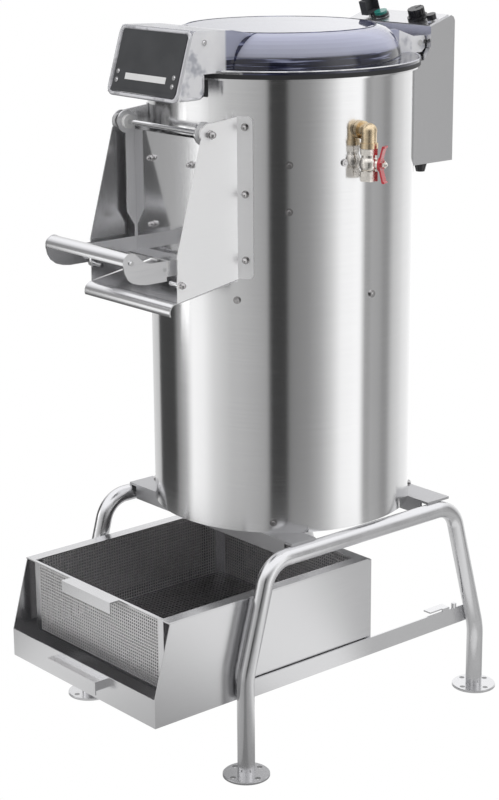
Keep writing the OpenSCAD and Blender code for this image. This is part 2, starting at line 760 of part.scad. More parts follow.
module hood_inner() {
  polygon([[-hood_yb + 1.5, hood_zb - 8], [-hood_yt + 3, hood_zt - 4.5], [40 - drum_r, hood_zt - 6],
    [79 - drum_r, lid_z + 52], [79 - drum_r, lid_z + 10], [65 - drum_r, lid_z - 6], [25 - drum_r, lid_z - 6],
    [25 - drum_r, hood_zb - 8]]);
}

module lid() {
  // clear moulded lid: flange, domed cover, front hood over the feed notch and two rear hinge ears
  color(clear) difference() {
    union() {
      translate([0, 0, 0]) rotate_extrude($fn = 96) difference() {
        dome_profile(0);
        square([300, lid_z]);
      }
      translate([0, 0, lid_z]) cylinder(r = lid_r, h = 4, $fn = 96);
      translate([-hood_w, 0, 0]) rotate([90, 0, 90]) linear_extrude(height = 2 * hood_w) hood_outer();
      for (s = [0, 1]) translate([s > 0 ? 84.7 : -88.7, hinge_y, hinge_z]) rotate([90, 0, 90])
        linear_extrude(height = 4)
          polygon([[-76, -16], [5, -16], [13, -9], [13, 6], [10, 11], [-14, 11], [-54, 25], [-76, 25]]);
    }
    rotate_extrude($fn = 96) dome_profile(lid_t);
    translate([-hood_w + lid_t, 0, 0]) rotate([90, 0, 90])
      linear_extrude(height = 2 * (hood_w - lid_t)) hood_inner();
    translate([-100, hinge_y, hinge_z]) rotate([0, 90, 0]) cylinder(r = 4.02, h = 200);
  }
}

module on_hood() {
  translate([0, -hood_yb, hood_zb])
    rotate([-atan((hood_yb - hood_yt) / (hood_zt - hood_zb)), 0, 0]) children();
}

module hood_panel() {
  color(dark) on_hood() {
    translate([9 - hood_w, -1.5, 3]) cube([2 * hood_w - 18, 1.5, 98]);
    translate([9 - hood_w, -3, 3]) cube([2 * hood_w - 18, 1.5, 5]);
  }
}

module hood_label() {
  color(white) on_hood() translate([-50, -2, 22.5]) cube([100, 0.5, 10]);
}

module panel_screws() {
  color(steel) {
    on_hood() for (x = [19 - hood_w, hood_w - 19]) for (z = [20, 33.5]) translate([x, -1.5, z])
      rotate([90, 0, 0]) {
      cylinder(d = 8, h = 1.2);
      cylinder(d1 = 6.5, d2 = 4, h = 2.4);
    }
    for (s = [-1, 1]) {
      translate([s * hood_w, -drum_r - 15, lid_z + 48]) rotate([0, s * 90, 0]) {
        cylinder(d = 9, h = 1.5);
        cylinder(d1 = 8, d2 = 4.5, h = 3);
      }
      translate([s * 88.7, hinge_y + 10, hinge_z + 1]) rotate([0, s * 90, 0]) cylinder(d = 7, h = 2);
      translate([s * 88.7, hinge_y, hinge_z]) rotate([0, s * 90, 0]) cylinder(d = 9, h = 2);
    }
  }
}

module hinge_block() {
  // two blocks on the control box that carry the lid hinge pin
  color(dark) difference() {
    for (s = [0, 1]) translate([s > 0 ? 60 : -84.4, hinge_y, hinge_z]) rotate([90, 0, 90])
      linear_extrude(height = 24.4)
        polygon([[4, -19], [6.3, -19], [14.6, -9.3], [14.6, 9], [-8, 9], [-8, -12], [4, -12]]);
    translate([-100, hinge_y, hinge_z]) rotate([0, 90, 0]) cylinder(r = 4 + play, h = 200);
  }
}

module hinge_pin() {
  color(steel) translate([-88.7, hinge_y, hinge_z]) rotate([0, 90, 0]) cylinder(r = 4, h = 177.4);
}

module box_profile(d) {
  polygon([[drum_r - 35, box_z + d], [box_rear - d, box_z + d], [box_rear - d, lid_z + 50],
    [box_rear - 3 - d * 0.7, lid_z + 56 - d * 0.7], [panel_y + panel_run - d * 0.5, panel_z + panel_rise - d],
    [panel_y + d, panel_z - d], [panel_y + d, lid_z + 9 - d * 0.4],
    [drum_r + rim_out + 2, box_front - d * 1.2], [drum_r - 35, box_front - d * 1.2]]);
}

module control_box() {
  color(steel) difference() {
    translate([-box_w, 0, 0]) rotate([90, 0, 90]) linear_extrude(height = 2 * box_w) box_profile(0);
    translate([-box_w + 2, 0, 0]) rotate([90, 0, 90]) linear_extrude(height = 2 * box_w - 4) box_profile(2);
    cylinder(r = drum_r + 0.3, h = 2000, $fn = 96);
    translate([60, box_rear - 35, box_z - 5]) cylinder(d = 16, h = 20);
    on_panel() {
      translate([-36, 21, -10]) cylinder(d = 12.1, h = 20);
      translate([47, 24, -10]) cylinder(d = 6.1, h = 20);
      translate([82, 22, -10]) cylinder(d = 8.1, h = 20);
    }
  }
}

module on_panel() {
  translate([0, panel_y, panel_z]) rotate([atan(panel_rise / panel_run), 0, 0]) children();
}

module control_panel() {
  // switch plate on the sloping top, with collars round the buttons
  color([0.7, 0.71, 0.73]) on_panel() difference() {
    union() {
      translate([4 - box_w, 1, 0]) cube([2 * box_w - 8, panel_run - 1, 2]);
      translate([-36, 21, 0]) cylinder(d = button_d + 4, h = 6);
      translate([82, 22, 0]) cylinder(d = 22, h = 4);
      for (s = [0, 17]) translate([cover_x - 2, 11 + s, 0]) cube([4, 3, 6]);
    }
    translate([-36, 21, -1]) cylinder(d = button_d + 2 * play, h = 9);
    translate([47, 24, -1]) cylinder(d = 6.1, h = 9);
    translate([82, 22, -1]) cylinder(d = 16.1, h = 9);
    translate([cover_x, 5, 4]) rotate([-90, 0, 0]) cylinder(d = 2 + 2 * play, h = 40);
  }
}

module start_button() {
  color(green) on_panel() {
    translate([-36, 21, -6]) cylinder(d = 12, h = 10);
    translate([-36, 21, 3.5]) cylinder(d = button_d, h = 7.5);
  }
}

module stop_button() {
  color(dark) on_panel() {
    translate([82, 22, -6]) cylinder(d = 8, h = 10);
    translate([82, 22, 3]) cylinder(d = 16, h = 9);
  }
}

module button_cover() {
  // flip-up cover standing open beside the start button
  color([0.3, 0.31, 0.33]) on_panel() {
    translate([cover_x, 11.2, 4]) rotate([-90, 0, 0]) cylinder(d = 2, h = 19.6);
    translate([cover_x - 1.5, 14.6, 2.7]) cube([3, 12.8, 5]);
    translate([cover_x - 14, 6, 7.2]) cube([15, 30, 1.5]);
    translate([cover_x - 14, 6, 7.2]) cube([1.5, 30, 24]);
    for (s = [0, 28.5]) translate([cover_x - 14, 6 + s, 7.2]) cube([15, 1.5, 24]);
  }
}

module timer_knob() {
  color(dark) on_panel() {
    translate([47, 24, -6]) cylinder(d = 6, h = 12);
    translate([47, 24, 2.4]) cylinder(d = knob_d, h = 4);
    translate([47, 24, 2.4]) difference() {
      cylinder(d = knob_d - 6, h = 17);
      for (a = [0 : 30 : 330]) rotate(a) translate([knob_d / 2 - 2, 0, 5]) cylinder(d = 4, h = 20, $fn = 16);
    }
    translate([45.9, 24, 19]) cube([2.2, knob_d / 2 - 4, 1]);
  }
}

module cable_gland() {
  color(dark) translate([60, box_rear - 35, box_z]) difference() {
    union() {
      translate([0, 0, -7]) cylinder(r = 13, h = 7, $fn = 6);
      translate([0, 0, -20]) cylinder(d1 = 15, d2 = 22, h = 13);
      translate([0, 0, -7]) cylinder(d = 15.8, h = 14);
      translate([0, 0, 2.1]) cylinder(r = 12, h = 4, $fn = 6);
    }
    translate([0, 0, -30]) cylinder(d = 8, h = 60);
  }
}

module at_inlet() {
  rotate(inlet_a) translate([0, -drum_r - 23, inlet_z]) children();
}

module elbow() {
  // brass elbow through the casing with its jet and inner nut
  color(brass) at_inlet() difference() {
    union() {
      rotate([-90, 0, 0]) cylinder(r = 10.5, h = 40);
      translate([0, 22.7, 0]) rotate([90, 0, 0]) cylinder(r = 14, h = 7);
      sphere(r = 12.5);
      translate([0, 0, -22]) cylinder(r = 12, h = 22);
      translate([0, 0, -26]) cylinder(r = 14, h = 8);
      translate([0, 25.5, 0]) rotate([-90, 0, 0]) cylinder(r = 15, h = 5, $fn = 6);
    }
    translate([0, 0, -30]) cylinder(d = valve_bore, h = 30);
    rotate([-90, 0, 0]) cylinder(d = valve_bore - 3, h = 60);
  }
}

module valve_body() {
  color([0.78, 0.74, 0.66]) at_inlet() difference() {
    union() {
      translate([0, 0, -36]) cylinder(r = 14.5, h = 9.5, $fn = 6);
      translate([0, 0, -66]) cylinder(r = 11.5, h = 39.5);
      translate([0, 0, -50]) sphere(r = 15);
      translate([0, 0, -76]) cylinder(r = 15, h = 15, $fn = 6);
      translate([0, 0, -50]) rotate([0, 90, 24 - inlet_a]) cylinder(r = 8, h = 17);
    }
    translate([0, 0, -80]) cylinder(r = 9.3, h = 18);
    translate([0, 0, -40]) cylinder(r = valve_bore / 2, h = 20);
    translate([0, 0, -50]) rotate([0, 90, 24 - inlet_a]) translate([0, 0, 8]) cylinder(r = 4 + play, h = 20);
  }
}

module at_stem() {
  at_inlet() translate([0, 0, -50]) rotate([0, 90, 24 - inlet_a]) children();
}

module valve_stem() {
  color([0.8, 0.78, 0.72]) at_stem() {
    translate([0, 0, 8.5]) cylinder(r = 4, h = 20);
    translate([0, 0, 22]) cylinder(r = 6, h = 5, $fn = 6);
    translate([0, 0, 28.5 - eps]) cylinder(r1 = 3.4, r2 = 2.4, h = 2);
  }
}

module valve_handle() {
  // butterfly handle, its wings along the pipe when the valve is open
  color(red) at_stem() difference() {
    union() {
      translate([0, 0, 17.5]) cylinder(r = 11, h = 4.5);
      for (s = [0, 1]) mirror([s, 0, 0]) translate([0, 6.8, 0]) rotate([90, 0, 0])
        linear_extrude(height = 13.6)
        polygon([[6, 18.5], [26.5, 23.6], [28.5, 24.4], [28.5, 28.5], [25.7, 28.5], [25.2, 26.4], [6, 21.2]]);
    }
    translate([0, 0, 10]) cylinder(r = 4.02, h = 30);
  }
}

module tray() {
  color(steel) {
    difference() {
      translate([-tray_w, 0, 0]) rotate([90, 0, 90]) linear_extrude(height = 2 * tray_w)
        polygon([[-tray_front, tray_z], [tray_rear, tray_z], [tray_rear, tray_h],
          [-tray_front + tray_rake, tray_h],
          [-tray_front, tray_low]]);
      translate([-tray_w + tray_t, 0, 0]) rotate([90, 0, 90]) linear_extrude(height = 2 * (tray_w - tray_t))
        polygon([[-tray_front + tray_t, tray_z + tray_t], [tray_rear - tray_t, tray_z + tray_t],
          [tray_rear - tray_t, tray_h + 1], [-tray_front - 1, tray_h + 1], [-tray_front - 1, tray_low],
          [-tray_front + tray_t, tray_low]]);
    }
    translate([-tray_w + 1, tray_rear - 17, tray_h - tray_t]) cube([2 * tray_w - 2, 16, tray_t]);
    translate([-65, -tray_front - 20, tray_low - 8]) cube([130, 20.5, 2]);
    translate([-65, -tray_front - 20, tray_low - 28]) cube([130, 2, 21]);
    for (x = [-65, 63]) translate([x, -tray_front - 20, tray_low - 21]) cube([2, 20.5, 14]);
  }
}

module basket_frame() {
  // rolled rim, corner strips, bottom ring and finger lips
  color(steel) {
    difference() {
      translate([-tray_w + 0.5, -basket_f - 4, tray_h]) cube([2 * tray_w - 1, basket_f + tray_rear - 2, 2]);
      translate([-basket_w + 1, -basket_f + 1, tray_h - 1])
        cube([2 * basket_w - 2, basket_f + basket_r - 2, 4]);
    }
    for (x = [-basket_w, basket_w - 1.5]) for (y = [-basket_f, basket_r - 14]) translate([x, y, basket_z])
      cube([1.5, 14, tray_h - basket_z + 1]);
    for (x = [-basket_w, basket_w - 14]) for (y = [-basket_f, basket_r - 1.5]) translate([x, y, basket_z])
      cube([14, 1.5, tray_h - basket_z + 1]);
    difference() {
      translate([-basket_w, -basket_f, basket_z]) cube([2 * basket_w, basket_f + basket_r, 5]);
      translate([-basket_w + 1.5, -basket_f + 1.5, basket_z - 1])
        cube([2 * basket_w - 3, basket_f + basket_r - 3, 8]);
    }
    translate([-65, -basket_f - 22, tray_h]) cube([130, 19, 2]);
    translate([-65, -basket_f - 22, tray_h - 17]) cube([130, 1.5, 18]);
    translate([-34, basket_r - 3, tray_h]) cube([68, 2.5, 2]);
    translate([-34, basket_r - 3, tray_h - 9]) cube([68, 1.5, 10]);
    translate([-34, basket_r - 25, tray_h - 9]) cube([68, 23, 1.5]);
  }
}

module net(w, h, nx, nz) {
  // flat sheet in the XZ plane with rows of slots
  px = (w - 4) / nx;
  pz = (h - 4) / nz;
  difference() {
    cube([w, 1, h]);
    for (i = [0 : nx - 1]) for (j = [0 : nz - 1])
      translate([2 + i * px + px * 0.15, -1, 2 + j * pz + pz * 0.15])
      cube([px * 0.7, 3, pz * 0.7]);
  }
}

module basket_mesh() {
  // perforated walls inside the corner strips
  color(steel) {
    for (y = [-basket_f, basket_r - 1.2]) translate([-basket_w + 14, y, basket_z + 5])
      net(2 * basket_w - 28, tray_h - basket_z - 5, 9, 5);
    for (x = [-basket_w + 1, basket_w]) translate([x, 14 - basket_f, basket_z + 5]) rotate(90)
      net(basket_f + basket_r - 28, tray_h - basket_z - 5, 10, 5);
  }
}

module basket_floor() {
  color(steel) difference() {
    translate([-basket_w + 1.5, -basket_f + 1.5, basket_z])
      cube([2 * basket_w - 3, basket_f + basket_r - 3, 1.5]);
    for (i = [0 : 8]) for (j = [0 : 9])
      translate([-basket_w + 12 + i * (2 * basket_w - 15.5) / 9, -basket_f + 10 + j * (basket_f + basket_r - 9) / 10,
        basket_z - 1]) cube([28, 26, 4]);
  }
}

frame_left();
frame_right();
foot_plates();
rail_left();
rail_right();
rail_stops();
crossbars();
base_plate();
casing();
rim_seal();
casing_screws();
chamber_floor();
drain_pipe();
liner();
disc();
disc_cap();
spindle();
bearing_housing();
shaft_seal();
driven_pulley();
belt();
motor_pulley();
motor();
motor_bracket();
chute_frame();
chute_seal();
cheek_left();
cheek_right();
chute_floor();
cheek_nuts();
hinge_rod();
door_panel();
door_bushes();
door_nuts();
latch_pins();
handle_grip();
handle_arms();
handle_screws();
lid();
hood_panel();
hood_label();
panel_screws();
hinge_block();
hinge_pin();
control_box();
control_panel();
start_button();
button_cover();
timer_knob();
stop_button();
cable_gland();
elbow();
valve_body();
valve_stem();
valve_handle();
tray();
basket_frame();
basket_mesh();
basket_floor();
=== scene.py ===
import math

import bmesh
import bpy
from mathutils import Matrix, Vector


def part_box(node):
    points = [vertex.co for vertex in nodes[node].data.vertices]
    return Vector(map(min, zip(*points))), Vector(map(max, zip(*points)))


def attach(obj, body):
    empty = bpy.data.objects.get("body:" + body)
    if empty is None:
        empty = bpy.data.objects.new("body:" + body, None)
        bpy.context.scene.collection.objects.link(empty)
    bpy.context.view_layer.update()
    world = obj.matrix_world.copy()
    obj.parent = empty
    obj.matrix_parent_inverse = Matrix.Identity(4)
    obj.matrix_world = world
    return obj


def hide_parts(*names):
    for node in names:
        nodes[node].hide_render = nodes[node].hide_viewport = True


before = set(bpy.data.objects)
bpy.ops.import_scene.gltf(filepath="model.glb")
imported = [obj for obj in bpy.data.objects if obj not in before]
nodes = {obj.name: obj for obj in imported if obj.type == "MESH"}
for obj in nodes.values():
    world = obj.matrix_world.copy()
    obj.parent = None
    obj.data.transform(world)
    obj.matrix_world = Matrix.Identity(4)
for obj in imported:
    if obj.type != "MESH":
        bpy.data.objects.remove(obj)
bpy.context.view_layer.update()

# ------------------------------------------------------------------ camera
# Fitted to about forty points of the photograph. The sensor's width spans the picture's longer side.
PHOTO_HEIGHT_PX, FOCAL_PX, SENSOR_MM = 800.0, 1950.41, 36.0
AZIMUTH, ELEVATION, ROLL = math.radians(49.577), math.radians(15.849), math.radians(-0.427)
CAMERA_AT = Vector((2.37188, -2.09121, 1.42459))
NEAREST, FARTHEST = 0.05, 60.0


def photo_camera():
    """Camera that sees the machine as the photograph does."""
    flat = math.cos(ELEVATION)
    back = Vector((math.sin(AZIMUTH) * flat, -math.cos(AZIMUTH) * flat, math.sin(ELEVATION)))
    level = Vector((math.cos(AZIMUTH), math.sin(AZIMUTH), 0.0))
    upright = back.cross(level)
    right = level * math.cos(ROLL) + upright * math.sin(ROLL)
    up = upright * math.cos(ROLL) - level * math.sin(ROLL)
    data = bpy.data.cameras.new("camera")
    data.sensor_width = SENSOR_MM
    data.lens = FOCAL_PX * SENSOR_MM / PHOTO_HEIGHT_PX
    data.clip_start, data.clip_end = NEAREST, FARTHEST
    camera = bpy.data.objects.new("camera", data)
    axes = Matrix((right, up, back)).transposed()
    camera.matrix_world = Matrix.Translation(CAMERA_AT) @ axes.to_4x4()
    bpy.context.scene.collection.objects.link(camera)
    bpy.context.scene.camera = camera


photo_camera()


# ------------------------------------------------------------ shader nodes
def grey(value):
    return (value, value, value)


def scaled(color, share):
    """A colour made darker or lighter, up to white."""
    return tuple(min(1.0, c * share) for c in color)


def put(tree, inputs, values):
    """Link each named or numbered input to a socket, or set it to a value."""
    for key, value in values.items():
        if isinstance(value, bpy.types.NodeSocket):
            tree.links.new(value, inputs[key])
        else:
            inputs[key].default_value = value


def node(tree, kind, values=None, **properties):
    """New node with its properties set, and its inputs linked or set."""
    made = tree.nodes.new(kind)
    for key, value in properties.items():
        setattr(made, key, value)
    put(tree, made.inputs, values or {})
    return made


def place(tree, kind="Object"):
    """Texture coordinates of one kind."""
    return node(tree, "ShaderNodeTexCoord").outputs[kind]


def split(tree, vector):
    """X, Y and Z of a vector."""
    return node(tree, "ShaderNodeSeparateXYZ", {0: vector}).outputs[:]


def calc(tree, operation, *values):
    """Result of a math node."""
    return node(tree, "ShaderNodeMath", dict(enumerate(values)), operation=operation).outputs[0]


def to_range(tree, value, lo, hi, a=0.0, b=1.0):
    """a up to where the value is lo, b from where it is hi, and even between."""
    values = {"Value": value, "From Min": lo, "From Max": hi, "To Min": a, "To Max": b}
    return node(tree, "ShaderNodeMapRange", values).outputs["Result"]


def from_noise(tree, value, a, b):
    """a where a noise is low, b where it is high."""
    usual_low, usual_high = 0.3, 0.7
    return to_range(tree, value, usual_low, usual_high, a, b)


def ramp(tree, factor, *stops):
    """Colour ramp through a colour at each position."""
    made = node(tree, "ShaderNodeValToRGB", {"Fac": factor})
    elements = made.color_ramp.elements
    elements[0].position, elements[1].position = stops[0][0], stops[-1][0]
    for position, _ in stops[1:-1]:
        elements.new(position)
    for element, (position, color) in zip(elements, stops):
        element.position = position
        element.color = (*color, 1.0)
    return made.outputs["Color"]


def blended(tree, factor, a, b):
    """Value a at 0, value b at 1."""
    return node(tree, "ShaderNodeMix", {"Factor": factor, "A": a, "B": b}, data_type="FLOAT").outputs[0]


def mixed(tree, factor, a, b):
    """Colour a at 0, colour b at 1; each is a socket or three numbers."""
    first, second, result = 6, 7, 2  # the mix node's sockets for colours
    values = {"Factor": factor}
    for key, color in ((first, a), (second, b)):
        values[key] = color if isinstance(color, bpy.types.NodeSocket) else (*color, 1.0)
    return node(tree, "ShaderNodeMix", values, data_type="RGBA").outputs[result]


def noise(tree, at, scale, detail, roughness=0.5):
    values = {"Vector": at, "Scale": scale, "Detail": detail, "Roughness": roughness}
    return node(tree, "ShaderNodeTexNoise", values).outputs["Fac"]


def bump(tree, height, strength, distance, invert=False):
    values = {"Height": height, "Strength": strength, "Distance": distance}
    return node(tree, "ShaderNodeBump", values, invert=invert).outputs[0]


def around_drum(tree, level_scale, turn_scale):
    """Coordinates that run round the drum's axis: turn and level."""
    x, y, z = split(tree, place(tree))
    turned = calc(tree, "MULTIPLY", calc(tree, "ARCTAN2", y, x), turn_scale)
    level = calc(tree, "MULTIPLY", z, level_scale)
    return node(tree, "ShaderNodeCombineXYZ", {"X": turned, "Y": level}).outputs[0]


def edge_on(tree, blend):
    """0 where a face looks at the viewer, toward 1 where it is seen from its side."""
    return node(tree, "ShaderNodeLayerWeight", {"Blend": blend}).outputs["Facing"]


def from_camera(tree):
    return node(tree, "ShaderNodeLightPath").outputs["Is Camera Ray"]


def new_material(name):
    made = bpy.data.materials.new(name)
    made.use_nodes = True
    return made, made.node_tree


def dress(tree, values):
    """Link or set inputs of the material's main shader."""
    shader = next(n for n in tree.nodes if n.type == "BSDF_PRINCIPLED")
    put(tree, shader.inputs, values)


# --------------------------------------------------------------- materials
def brushed(name, color, rough, shade, relief, grain=None, wrap=None, spread=0.05):
    """Sheet steel: long grain streaks in colour, roughness and height, over slow cloudy variation.

    grain gives the streaks' scale along X, Y and Z; wrap, in its place, their scales up and round the drum.
    """
    made, tree = new_material(name)
    at = place(tree)
    if wrap:
        streak_at = around_drum(tree, *wrap)
    else:
        streak_at = node(tree, "ShaderNodeMapping", {"Vector": at, "Scale": grain}).outputs[0]
    streak = noise(tree, streak_at, scale=1.0, detail=4.0, roughness=0.65)
    cloud = noise(tree, at, scale=5.0, detail=3.0, roughness=0.55)
    cloud_share = 0.35
    tone = blended(tree, cloud_share, streak, cloud)
    dress(tree, {
        "Base Color": ramp(tree, tone, (0.36, scaled(color, 1 - shade)), (0.5, color),
                           (0.64, scaled(color, 1 + shade))),
        "Roughness": from_noise(tree, streak, rough - spread, rough + spread),
        "Metallic": 1.0,
        "Normal": bump(tree, streak, strength=relief, distance=0.0004),
    })
    return made


def drum_steel():
    """The casing's steel, brushed round the drum, which draws its reflections out along the axis."""
    made = brushed("steel_drum", (0.76, 0.76, 0.765), rough=0.155, wrap=(650.0, 1.6),
                   shade=0.03, relief=0.09, spread=0.03)
    dress(made.node_tree, {"Anisotropic": 0.75, "Anisotropic Rotation": 0.25})
    return made


def door_steel():
    """The door's steel: a pan that mirrors, between flanges that are dull."""
    pan, flange = 0.085, 0.60
    made = brushed("steel_door", (0.84, 0.84, 0.85), rough=pan, grain=GRAIN_UP,
                   shade=0.02, relief=0.03, spread=0.02)
    tree = made.node_tree
    across, _, _ = split(tree, place(tree, "Normal"))
    dress(tree, {"Roughness": to_range(tree, calc(tree, "ABSOLUTE", across), 0.3, 0.7, pan, flange)})
    return made


def plastic(name, color, rough, grain, relief, coat=0.0, mottled=0.12):
    """Moulded plastic or paint: fine spark-eroded grain and faint colour change."""
    made, tree = new_material(name)
    at = place(tree)
    fine = noise(tree, at, scale=grain, detail=3.0, roughness=0.6)
    slow = noise(tree, at, scale=22.0, detail=3.0)
    dress(tree, {
        "Base Color": ramp(tree, slow, (0.35, scaled(color, 1 - mottled)),
                           (0.65, scaled(color, 1 + mottled))),
        "Roughness": from_noise(tree, fine, rough - 0.05, rough + 0.06),
        "Coat Weight": coat,
        "Normal": bump(tree, fine, strength=relief, distance=0.0002),
    })
    return made


def cast_metal(name, color, rough, metallic=1.0, grain=420.0, relief=0.35):
    """Cast or forged metal: pitted skin, darker in the hollows."""
    made, tree = new_material(name)
    at = place(tree)
    pits = noise(tree, at, scale=grain, detail=5.0, roughness=0.7)
    tone = blended(tree, 0.5, pits, noise(tree, at, scale=60.0, detail=2.0))
    dress(tree, {
        "Base Color": ramp(tree, tone, (0.38, scaled(color, 0.72)), (0.55, color),
                           (0.66, scaled(color, 1.12))),
        "Roughness": from_noise(tree, pits, rough + 0.12, rough - 0.06),
        "Metallic": metallic,
        "Normal": bump(tree, pits, strength=relief, distance=0.0003),
    })
    return made


def abrasive(name, color):
    """Grit bonded to the liner and the disc."""
    made, tree = new_material(name)
    grit = node(tree, "ShaderNodeTexVoronoi", {"Vector": place(tree), "Scale": 700.0}).outputs["Distance"]
    dress(tree, {
        "Base Color": ramp(tree, grit, (0.0, scaled(color, 1.7)), (0.6, scaled(color, 0.5))),
        "Roughness": 0.85,
        "Normal": bump(tree, grit, strength=0.8, distance=0.0008, invert=True),
    })
    return made


# Where the look of the lid changes, in metres: behind the hood, on the ears and above the dome's foot
HOOD_BACK_Y, EARS_FROM_Y, FOOT_TOP_Z = (-0.190, -0.186), 0.179, (1.116, 1.120)
# and how far a face has to look sideways or upward to be a side wall or the crown
SIDE_WALL, CROWN = (0.80, 0.95), (0.96, 0.99)
CLEAR_IOR = 1.55


def lid_masks(tree):
    """0 to 1 for side walls, dome without hood and ears, all above the dome's foot, and crown."""
    _, y, z = split(tree, place(tree))
    across, _, upward = split(tree, place(tree, "Normal"))
    side_wall = to_range(tree, calc(tree, "ABSOLUTE", across), *SIDE_WALL)
    crown = to_range(tree, calc(tree, "ABSOLUTE", upward), *CROWN)
    on_ear = calc(tree, "MULTIPLY", calc(tree, "GREATER_THAN", y, EARS_FROM_Y), side_wall)
    in_dome = calc(tree, "MULTIPLY", to_range(tree, y, *HOOD_BACK_Y), calc(tree, "SUBTRACT", 1.0, on_ear))
    return side_wall, in_dome, to_range(tree, z, *FOOT_TOP_Z), crown


def lid_color(tree, facing, side_wall, in_dome, above_foot):
    """Blue-violet dome on a foot of painted shade with painted highlight streaks, water-clear hood with side
    walls painted pale as a reflection.
    """
    dome = ramp(tree, facing, (0.0, (0.62, 0.64, 0.78)), (0.55, (0.56, 0.58, 0.76)),
                (0.9, (0.12, 0.13, 0.24)))
    # painted shade at the dome's foot, near black, with painted highlights in streaks that run round it
    streak = noise(tree, around_drum(tree, level_scale=300.0, turn_scale=2.2), scale=1.0, detail=2.0)
    foot = ramp(tree, streak, (0.50, (0.012, 0.013, 0.030)), (0.60, (0.05, 0.055, 0.11)),
                (0.68, (0.34, 0.36, 0.50)))
    hood = ramp(tree, facing, (0.0, (0.95, 0.95, 0.97)), (0.6, (0.86, 0.87, 0.92)),
                (0.9, (0.20, 0.21, 0.28)))
    # painted reflection on the hood's side walls and ears: pale and streaky
    sheen_noise = noise(tree, place(tree), scale=26.0, detail=3.0)
    wall = ramp(tree, sheen_noise, (0.36, (0.52, 0.53, 0.58)), (0.45, (0.93, 0.93, 0.95)),
                (0.7, (0.99, 0.99, 1.0)))
    return mixed(tree, in_dome, mixed(tree, side_wall, hood, wall), mixed(tree, above_foot, foot, dome))


def lid_alpha(tree, facing, side_wall, in_dome, above_foot, crown):
    """Clearest in the crown and the hood, and denser wherever it is seen edge-on."""
    shoulder = ramp(tree, facing, (0.0, grey(0.44)), (0.5, grey(0.66)), (0.9, grey(0.96)))
    top = ramp(tree, facing, (0.0, grey(0.10)), (0.45, grey(0.30)), (0.85, grey(0.92)))
    # the foot nearly opaque, so that its painted shade shows
    dome = mixed(tree, above_foot, grey(0.92), mixed(tree, crown, shoulder, top))
    hood = ramp(tree, facing, (0.0, grey(0.16)), (0.6, grey(0.30)), (0.95, grey(0.85)))
    # side walls nearly opaque, so that their painted reflection shows
    return mixed(tree, in_dome, mixed(tree, side_wall, hood, grey(0.90)), dome)


def clear_cover(name):
    """Clear moulded plastic of the lid, with painted shade at the dome's foot and a painted reflection on
    the hood's side walls.
    """
    made, tree = new_material(name)
    facing = edge_on(tree, blend=0.42)
    side_wall, in_dome, above_foot, crown = lid_masks(tree)
    smear = noise(tree, place(tree), scale=14.0, detail=4.0)
    dress(tree, {
        "Base Color": lid_color(tree, facing, side_wall, in_dome, above_foot),
        "Alpha": lid_alpha(tree, facing, side_wall, in_dome, above_foot, crown),
        "Roughness": from_noise(tree, smear, 0.02, 0.09),
        "IOR": CLEAR_IOR,
        "Coat Weight": 0.6,
        "Coat Roughness": 0.03,
    })
    return made


def clear_edge_painted_highlight(name, centre, edge, alpha):
    """Thick moulded edge of the clear cover, with a painted highlight in the middle and painted shade at its
    sides.
    """
    made, tree = new_material(name)
    facing = edge_on(tree, blend=0.35)
    sheen_noise = noise(tree, place(tree), scale=30.0, detail=3.0)
    # painted highlight where the edge faces the viewer, turning to painted shade where it is seen from its
    # side
    tone = ramp(tree, facing, (0.0, centre), (0.28, centre), (0.55, edge), (1.0, edge))
    # a dimmer painted highlight, mixed in here and there by the noise
    dim_painted_highlight = ramp(tree, facing, (0.0, scaled(centre, 0.6)), (1.0, edge))
    dress(tree, {
        "Base Color": mixed(tree, to_range(tree, sheen_noise, 0.52, 0.62), tone, dim_painted_highlight),
        "Roughness": from_noise(tree, sheen_noise, 0.02, 0.08),
        "Alpha": to_range(tree, facing, 0.0, 0.7, alpha, 1.0),
        "IOR": CLEAR_IOR,
        "Coat Weight": 0.8,
    })
    return made


def dark_step_painted_shade(name):
    """Inner step of the clear dome, painted dark blue as shade, with painted highlights in streaks that run
    round it.
    """
    made, tree = new_material(name)
    streak = noise(tree, around_drum(tree, level_scale=260.0, turn_scale=3.0), scale=1.0, detail=3.0)
    dress(tree, {
        "Base Color": ramp(tree, streak, (0.40, (0.010, 0.011, 0.030)), (0.56, (0.045, 0.05, 0.11)),
                           (0.66, (0.26, 0.28, 0.42))),
        "Roughness": 0.10,
        "Alpha": 0.90,
        "IOR": CLEAR_IOR,
        "Specular IOR Level": 0.25,
    })
    return made


# The grain runs along the axes whose scale is low.
GRAIN_UP, GRAIN_LEVEL, GRAIN_CHEEK = (700.0, 700.0, 14.0), (14.0, 14.0, 700.0), (18.0, 18.0, 700.0)
GRAIN_BAR, GRAIN_TUBE = (14.0, 700.0, 14.0), (260.0, 30.0, 30.0)
FINE_GRAIN, COARSE_GRAIN = (700.0, 700.0, 700.0), (200.0, 200.0, 200.0)

